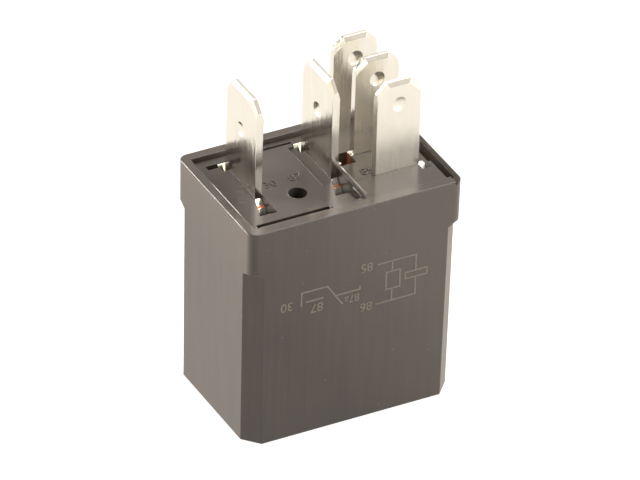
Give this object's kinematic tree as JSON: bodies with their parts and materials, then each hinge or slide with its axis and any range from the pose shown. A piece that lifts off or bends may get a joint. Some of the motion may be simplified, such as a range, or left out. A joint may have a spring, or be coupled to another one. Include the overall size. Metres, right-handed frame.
{
  "type": "automotive micro relay",
  "caption": "Small changeover relay in a black box cover with flat blade terminals, a coil, a hinged armature and a spring contact inside.",
  "frame": {"origin": "centre of the cover's closed end, the face it stands on", "axes": "+Z along the blades, away from the closed end; +X along the wide face, towards the three slim blades; -Y out of the printed wide face"},
  "size_m": [0.0234, 0.0158, 0.0358],
  "materials": {
    "cover_plastic": "moulded black thermoplastic, satin",
    "base_plastic": "moulded black thermoplastic, semi-gloss",
    "tin": "tin-plated copper alloy, bright",
    "iron": "zinc-plated soft iron",
    "bobbin_plastic": "natural nylon",
    "copper_wire": "enamelled copper wire",
    "spring_bronze": "bronze strip",
    "contact_silver": "silver alloy",
    "resistor_body": "lacquered resistor body"
  },
  "bodies": {
    "housing": {"cover": "cover_plastic", "base": "base_plastic", "terminal_common": "tin", "terminal_work": "tin", "terminal_rest": "tin", "terminal_coil_front": "tin", "terminal_coil_back": "tin", "yoke": "iron", "core": "iron", "bobbin": "bobbin_plastic", "winding": "copper_wire", "coil_end_front": "copper_wire", "coil_end_back": "copper_wire", "work_contact": "contact_silver", "rest_contact": "contact_silver", "yoke_rivets": "iron", "terminal_rivets": "iron", "resistor": "resistor_body", "resistor_leads": "tin"},
    "armature_group": {"armature": "iron", "contact_spring": "spring_bronze", "moving_contact": "contact_silver", "armature_rivets": "iron"}
  },
  "joints": [
    {"name": "armature_hinge", "type": "hinge", "parent": "housing", "child": "armature_group", "pos_m": [-0.00707, 0, 0.0062], "axis": [0, -1, 0], "range_deg": [0, 2.9], "stiffness_Nm_per_rad": 0.05, "springref_deg": -2.86, "deforming": ["contact_spring"]}
  ]
}
